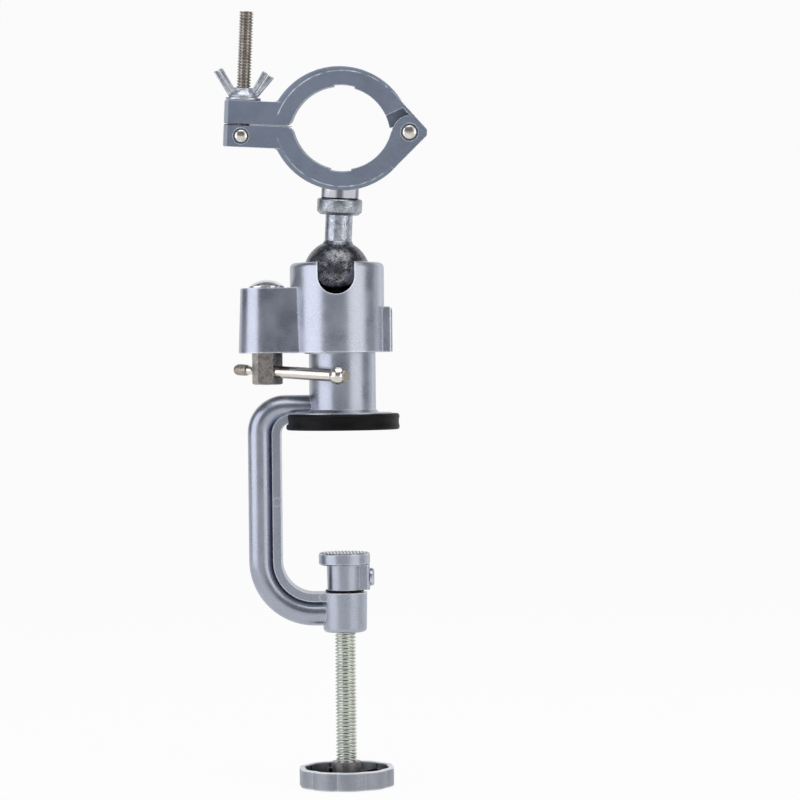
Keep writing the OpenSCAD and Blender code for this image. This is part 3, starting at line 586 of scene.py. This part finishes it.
frame_paint = cast_paint("frame paint", (0.31, 0.34, 0.40), (0.44, 0.47, 0.54), (0.88, 0.90, 0.95))
sleeve_paint = cast_paint("sleeve paint", (0.35, 0.375, 0.44), (0.48, 0.51, 0.58), (0.90, 0.92, 0.96),
                          wear=0.0012)
jaw_paint = cast_paint("jaw paint", (0.17, 0.20, 0.265), (0.235, 0.275, 0.35), (0.9, 0.94, 1.0),
                       metallic=0.5, roughness=0.42, relief=0.08, wear=0.0005, dress=dress_jaws)
knob_paint = cast_paint("knob paint", (0.25, 0.27, 0.31), (0.38, 0.395, 0.435), (0.90, 0.92, 0.96),
                        roughness=0.4, wear=0.0013, dress=dress_knob)
# near-black copy of the jaw paint: painted shade in the joint between the jaws
lip_shade = cast_paint("jaw lip shade", (0.02, 0.022, 0.027), (0.05, 0.055, 0.065), (0.2, 0.22, 0.25),
                      metallic=0.3)
pad_rubber = rubber("pad rubber")
cup_steel = ridged_steel("cup face")
zinc_screw = bare_metal("clamp screw zinc", (0.50, 0.53, 0.48), (0.68, 0.70, 0.65), (0.8, 0.82, 0.77),
                        roughness=0.2, blotch=5.0, pit=2.2, relief=0.02, spread=0.05)
zinc_nut = bare_metal("wing nut zinc", (0.36, 0.39, 0.44), (0.68, 0.71, 0.76), (0.9, 0.92, 0.96),
                      roughness=0.3, blotch=2.2, pit=0.8, relief=0.2)
pin_zinc = bare_metal("pin zinc", (0.50, 0.47, 0.42), (0.88, 0.84, 0.78), (0.96, 0.94, 0.9),
                      roughness=0.16, blotch=2.2, pit=0.6, relief=0.25)
bolt_nickel = bare_metal("swing bolt nickel", (0.22, 0.195, 0.17), (0.42, 0.385, 0.345), (0.6, 0.57, 0.53),
                         roughness=0.17, blotch=4.0, pit=2.2, relief=0.02, spread=0.05)
bar_nickel = bare_metal("bar nickel", (0.62, 0.58, 0.52), (0.74, 0.70, 0.64), (0.86, 0.84, 0.8),
                        roughness=0.14, blotch=4.0, pit=0.8, relief=0.06)
bar_end = bare_metal("bar end", (0.20, 0.17, 0.14), (0.52, 0.47, 0.41), (0.85, 0.83, 0.8),
                     roughness=0.4, blotch=0.9, pit=0.35, relief=0.8)
nut_steel = bare_metal("nut steel", (0.20, 0.18, 0.165), (0.50, 0.47, 0.43), (0.92, 0.9, 0.85),
                       roughness=0.24, blotch=1.6, pit=0.4, relief=0.4)
ball_steel = bare_metal("ball steel", (0.02, 0.021, 0.025), (0.28, 0.285, 0.305), (0.5, 0.5, 0.5),
                        roughness=0.24, blotch=2.0, pit=0.5, relief=0.35,
                        neck=((0.18, 0.20, 0.24), (0.52, 0.55, 0.61)))
collar_steel = bare_metal("collar steel", (0.19, 0.205, 0.23), (0.49, 0.52, 0.57), (0.75, 0.77, 0.8),
                          roughness=0.3, blotch=1.3, pit=0.5, relief=0.6)
screw_bright = bare_metal("lock screw zinc", (0.7, 0.7, 0.7), (0.88, 0.88, 0.88), (0.95, 0.95, 0.95),
                          roughness=0.18, blotch=4.0, pit=0.8, relief=0.05)


# CAD pieces that keep their own shape

def finish(name, material):
    o = nodes[name]
    o.data.materials.clear()
    o.data.materials.append(material)
    return o


def soften(name, material, width):
    """Gives a solid its finish, and rounds its sharp edges a little."""
    o = finish(name, material)
    weld = o.modifiers.new("weld", "WELD")
    weld.merge_threshold = 2e-6
    round_off = o.modifiers.new("round", "BEVEL")
    round_off.limit_method = "ANGLE"
    round_off.angle_limit = math.radians(32)
    round_off.width = width * MM
    round_off.segments = 2
    round_off.harden_normals = True


finish("c_frame", frame_paint)
finish("hand_knob", knob_paint)
finish("pressure_cup", frame_paint)
finish("housing", sleeve_paint)
finish("t_bar_ball", bar_nickel)
finish("ball_stud", ball_steel)
soften("lower_jaw", jaw_paint, 0.2)
soften("upper_jaw", jaw_paint, 0.2)
soften("bench_pad", pad_rubber, 0.3)
soften("cup_screw", zinc_nut, 0.12)
soften("lock_screw", screw_bright, 0.15)
soften("t_nut", nut_steel, 0.2)
soften("lock_collar", collar_steel, 0.25)
soften("hinge_pin", pin_zinc, 0.12)
soften("pivot_pin", pin_zinc, 0.12)
soften("washer", zinc_nut, 0.15)


# Pieces that are made for the looks

def make_clamp_screw():
    """Threaded shank, and a tip with the groove in which the cup's screw runs."""
    root, tip_r, groove_r = 3.95 * MM, 4.6 * MM, 3.25 * MM
    tip_low = -72.6 * MM
    groove_low, groove_high = -68.9 * MM, -64.1 * MM
    shank = thread("clamp_screw_thread", root, SCREW_R, SCREW_PITCH, SCREW_END_Z, tip_low)
    tip = turned("clamp_screw_tip", [
        (0, tip_low - 0.4 * MM), (3.9 * MM, tip_low - 0.4 * MM), (tip_r, tip_low + 0.4 * MM),
        (tip_r, groove_low), (groove_r, groove_low), (groove_r, groove_high), (tip_r, groove_high),
        (tip_r, SCREW_TIP_Z - 1 * MM), (3.6 * MM, SCREW_TIP_Z), (0, SCREW_TIP_Z)])
    o = joined("clamp_screw_threaded", tip, shank)
    settle(o)
    smooth(o, 35)
    o.data.materials.append(zinc_screw)
    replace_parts(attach(o, "screw"), "clamp_screw")


def make_swing_bolt():
    """Eye with a pin hole, a plain neck and a threaded shank that is drawn in at its end."""
    hole_r, eye_half, rim = 2.28 * MM, 3.2 * MM, 0.5 * MM
    root, neck_r = 2.5 * MM, 2.9 * MM
    neck_end = 12 * MM
    top = BOLT_LENGTH - 0.15 * MM
    eye = turned("swing_bolt_eye", [
        (hole_r, -eye_half), (EYE_R - rim, -eye_half), (EYE_R, rim - eye_half),
        (EYE_R, eye_half - rim), (EYE_R - rim, eye_half), (hole_r, eye_half), (hole_r, -eye_half)], 48)
    eye.matrix_world = Matrix.Rotation(math.pi / 2, 4, "X")
    settle(eye)
    neck = turned("swing_bolt_neck", [
        (0, 3.4 * MM), (neck_r, 3.4 * MM), (neck_r, neck_end - 0.5 * MM),
        (root, neck_end), (0, neck_end)], 40)
    shank = thread("swing_bolt_thread", root, BOLT_R, BOLT_PITCH, neck_end - 0.2 * MM, top, 32)
    taper_end(shank, top, 0.84)
    o = joined("swing_bolt_threaded", eye, neck, shank)
    settle(o, on_stud(joint_places["bolt_lean"]))
    smooth(o, 35)
    o.data.materials.append(bolt_nickel)
    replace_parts(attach(o, "bolt"), "swing_bolt")


def slab(name, corners, half):
    """A four-sided plate in the XZ plane; corners go round it, in millimetres."""
    bpy.ops.object.select_all(action="DESELECT")
    bpy.ops.mesh.primitive_cube_add(size=2)
    o = name_piece(name)
    for sx, sz, (x, z) in zip((-1, 1, 1, -1), (-1, -1, 1, 1), corners):
        pick(o, "VERT", lambda v: v.co.x * sx > 0.5 and v.co.z * sz > 0.5 and abs(v.co.y) > 0.5)
        bpy.ops.transform.translate(value=(x * MM - sx, 0, z * MM - sz))
        leave()
    edit(o)
    bpy.ops.mesh.select_all(action="SELECT")
    bpy.ops.transform.resize(value=(1, half * MM, 1), center_override=(0, 0, 0))
    leave()
    return o


def round_edges(o, width, segments):
    m = o.modifiers.new("round", "BEVEL")
    m.width = width * MM
    m.segments = segments
    m.limit_method = "ANGLE"
    m.angle_limit = math.radians(30)
    apply_all(o)


def make_wing_nut():
    """Hub drawn up from the sheet, and two folded wings with cut ends."""
    hub = turned("wing_nut_hub", [(r * MM, z * MM) for r, z in (
        (3.26, 0), (6.3, 0), (6.55, 0.25), (6.4, 0.8), (5.5, 1.5), (4.85, 2.4), (4.5, 3.5), (4.3, 4.15),
        (3.9, 4.4), (3.26, 4.4), (3.26, 0))])
    leaves = []
    for side, root, tip in (("left", ((-6.4, 0.2), (-3.6, 2.9)), ((-13.6, 10.8), (-9.9, 12.8))),
                            ("right", ((3.6, 2.9), (6.4, 0.2)), ((8.4, 12.3), (13.4, 9.2)))):
        for part, share in (("outer", (0, 0.46)), ("inner", (0.54, 1))):
            low = [tuple(a + (b - a) * t for a, b in zip(*root)) for t in share]
            high = [tuple(a + (b - a) * t for a, b in zip(*tip)) for t in share]
            o = slab(f"wing_{side}_{part}", [low[0], low[1], high[1], high[0]], 2.3)
            round_edges(o, 0.5, 3)
            leaves.append(o)
    o = joined("wing_nut_pressed", *leaves, hub)
    settle(o, on_stud(joint_places["bolt_lean"]) @ Matrix.Translation((0, 0, NUT_RISE)))
    smooth(o, 35)
    o.data.materials.append(zinc_nut)
    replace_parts(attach(o, "bolt_nut"), "wing_nut")


def make_t_bar():
    """Round bar with a turned neck, a hammered tail and a rough sawn end."""
    o = turned("t_bar_turned", [(r * MM, z * MM) for r, z in (
        (0, -18.1), (1.6, -18.1), (2.5, -17.7), (2.95, -16.6), (3.0, -15.2), (2.95, -13.8), (2.9, -12.4),
        (2.6, -11.3), (1.95, -10.8), (1.9, -9.0), (1.95, -7.0), (2.3, -6.5), (2.75, -6.3), (2.79, -5.8),
        (2.79, 20), (2.79, 44.5), (2.5, 44.9), (1.4, 45.0), (0, 45.0))], 48)
    pick(o, "VERT", lambda v: v.co.z < -11 * MM)
    bpy.ops.transform.resize(value=(1.0, 0.86, 1), center_override=(0, 0, 0))
    leave()
    pick(o, "VERT", lambda v: v.co.z < -11.2 * MM or v.co.z > 44.7 * MM)
    bpy.ops.transform.vertex_random(offset=0.07 * MM, seed=4)
    leave()
    settle(o, stand_along(TBAR_MID, TBAR_ALONG))
    smooth(o, 35)
    for m in (bar_nickel, bar_end):
        o.data.materials.append(m)
    pick(o, "FACE", lambda f: not -10.9 * MM < (f.center - TBAR_MID).dot(TBAR_ALONG) < 44.6 * MM)
    o.active_material_index = 1
    bpy.ops.object.material_slot_assign()
    leave()
    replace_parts(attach(o, "lever"), "t_bar")


def make_cup_serrations():
    """Fine ridges across the face that presses on the bench."""
    pitch, count, rise, sunk = 1.5, 15, 0.34, -0.3
    half = count * pitch / 2
    face_r = 11 * MM
    reach = 12 * MM
    points = [(-half, sunk)]
    for i in range(count):
        x = i * pitch - half
        points += [(x, 0), (x + 0.5 * pitch, rise)]
    points += [(half, 0), (half, sunk), (-half, sunk)]
    o = trace("cup_serrations", [(x * MM, z * MM) for x, z in points])
    edit(o)
    bpy.ops.mesh.select_all(action="SELECT")
    bpy.ops.mesh.remove_doubles(threshold=2e-6)
    bpy.ops.mesh.edge_face_add()
    bpy.ops.mesh.extrude_region_move(TRANSFORM_OT_translate={"value": (0, 2 * reach, 0)})
    leave()
    settle(o, Matrix.Translation((0, 0, CUP_TOP_Z)) @ Matrix.Rotation(math.radians(4), 4, "Z")
           @ Matrix.Translation((0, -reach, 0)))
    bpy.ops.object.select_all(action="DESELECT")
    bpy.ops.mesh.primitive_cylinder_add(vertices=96, radius=face_r, depth=4 * MM,
                                        location=(0, 0, CUP_TOP_Z))
    cutter = name_piece("cup_round")
    settle(cutter)
    m = o.modifiers.new("trim", "BOOLEAN")
    m.operation = "INTERSECT"
    m.object = cutter
    m.solver = "EXACT"
    apply_all(o)
    select_only(cutter)
    bpy.ops.object.delete()
    clean_shell(o)
    o.data.materials.append(cup_steel)
    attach(o, "cup")


def make_joint_lip():
    """Thin cast lip between the jaws' mating faces, behind the swing bolt, painted near black as the shade
    in the joint.
    """
    length, depth, thickness = 29 * MM, 3 * MM, 0.24 * MM
    bpy.ops.object.select_all(action="DESELECT")
    bpy.ops.mesh.primitive_cube_add(size=1)
    o = name_piece("joint_lip")
    edit(o)
    bpy.ops.mesh.select_all(action="SELECT")
    bpy.ops.transform.resize(value=(length, depth, thickness))
    leave()
    round_edges(o, 0.04, 2)
    settle(o, on_stud(RING_MIDDLE) @ Matrix.Translation((-37.5 * MM, 6 * MM, 0.04 * MM)))
    o.data.materials.append(lip_shade)
    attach(o, "ring")


def make_cup_ring():
    """Flat rubber ring under the cup, against which the cup lands on the boss."""
    hole_r, outer_r, corner = 5 * MM, 8.75 * MM, 0.25 * MM
    high = CUP_BOTTOM_Z - 0.02 * MM
    low = CUP_BOTTOM_Z - 0.75 * MM
    o = turned("cup_ring", [(hole_r, low), (outer_r - corner, low), (outer_r, low + 0.2 * MM),
                            (outer_r, high - 0.18 * MM), (outer_r - corner, high), (hole_r, high),
                            (hole_r, low)], 96)
    settle(o)
    smooth(o, 35)
    o.data.materials.append(pad_rubber)
    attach(o, "cup")


make_clamp_screw()
make_swing_bolt()
make_joint_lip()
make_cup_ring()
make_wing_nut()
make_t_bar()
make_cup_serrations()


# Floor, backdrop, lights and camera

def make_stage():
    """Floor with a rounded rise into the backdrop, white to the camera."""
    half = 4.0
    bpy.ops.object.select_all(action="DESELECT")
    bpy.ops.mesh.primitive_plane_add(size=2 * half, location=(0, -0.6, KNOB_BOTTOM - 0.001))
    floor = name_piece("studio_floor")
    points = floor.data.vertices
    pick(floor, "EDGE", lambda e: all(points[i].co.y > 0 for i in e.vertices))
    bpy.ops.mesh.extrude_region_move(TRANSFORM_OT_translate={"value": (0, 0, half)})
    leave()
    points = floor.data.vertices
    pick(floor, "EDGE", lambda e: all(points[i].co.y > half - 0.01 and points[i].co.z < 1
                                      for i in e.vertices))
    bpy.ops.mesh.bevel(offset=1.2, segments=12, affect="EDGES")
    leave()
    settle(floor)
    smooth(floor, 60)
    m, tree, shader = new_material("studio white", 0.0, 0.9)
    shader.inputs["Base Color"].default_value = (0.86, 0.86, 0.86, 1)
    shader.inputs["Specular IOR Level"].default_value = 0.0
    glow = tree.nodes.new("ShaderNodeEmission")
    glow.inputs["Strength"].default_value = 1.0
    light_path = tree.nodes.new("ShaderNodeLightPath")
    seen = math_node(tree, "MAXIMUM", math_node(tree, "MAXIMUM", light_path.outputs["Is Camera Ray"],
                                               light_path.outputs["Is Glossy Ray"]),
                     light_path.outputs["Is Transmission Ray"])
    blend = tree.nodes.new("ShaderNodeMixShader")
    tree.links.new(times(tree, seen, 0.95), blend.inputs["Fac"])
    tree.links.new(shader.outputs["BSDF"], blend.inputs[1])
    tree.links.new(glow.outputs["Emission"], blend.inputs[2])
    tree.links.new(blend.outputs["Shader"], tree.nodes["Material Output"].inputs["Surface"])
    floor.data.materials.append(m)


def around(degrees, distance, height):
    """Place beside the vise; the angle runs from the camera's side to the right."""
    a = math.radians(degrees)
    return Vector((distance * math.sin(a), -distance * math.cos(a), height))


def add_softbox(name, place, aim, width, height, watts, tint):
    data = bpy.data.lights.new(name, "AREA")
    data.shape = "RECTANGLE"
    data.size = width
    data.size_y = height
    data.energy = watts
    data.color = tint
    o = bpy.data.objects.new(name, data)
    bpy.context.scene.collection.objects.link(o)
    o.matrix_world = Matrix.Translation(place) @ (aim - place).to_track_quat("-Z", "Y").to_matrix().to_4x4()


make_stage()
middle = Vector((0, 0, 0.01))
add_softbox("left softbox", around(-63, 1.25, 0.12), middle, 1.2, 1.5, 9.2, (0.97, 0.95, 1.0))
add_softbox("right softbox", around(50, 1.3, 0.1), middle, 1.05, 1.5, 6.6, (1.0, 0.96, 0.92))
add_softbox("rear softbox", around(120, 1.3, 0.1), middle, 0.8, 1.5, 2.0, (1.0, 1.0, 1.0))
add_softbox("top softbox", Vector((0.1, -0.4, 1.2)), middle, 1.5, 1.3, 12, (1.0, 0.99, 0.98))

world = bpy.data.worlds.new("studio")
bpy.context.scene.world = world
world.use_nodes = True
world.node_tree.nodes["Background"].inputs["Color"].default_value = (0.17, 0.185, 0.215, 1)
world.node_tree.nodes["Background"].inputs["Strength"].default_value = 1.0

camera_data = bpy.data.cameras.new("camera")
camera = bpy.data.objects.new("camera", camera_data)
bpy.context.scene.collection.objects.link(camera)
CAMERA_DISTANCE = 1.29
CAMERA_ASIDE = 0.0258
CAMERA_HEIGHT = 0.0305
AIM_BELOW = 0.0175
HALF_VIEW = 0.18
CAMERA_ROLL = math.radians(-0.62)
look_down = math.atan2(AIM_BELOW, CAMERA_DISTANCE)
camera_data.angle = 2 * math.atan(HALF_VIEW / CAMERA_DISTANCE)
camera.matrix_world = (Matrix.Translation((CAMERA_ASIDE, -CAMERA_DISTANCE, CAMERA_HEIGHT))
                       @ Matrix.Rotation(math.pi / 2 - look_down, 4, "X")
                       @ Matrix.Rotation(CAMERA_ROLL, 4, "Z"))
bpy.context.scene.camera = camera

bpy.context.scene.view_settings.view_transform = "Standard"
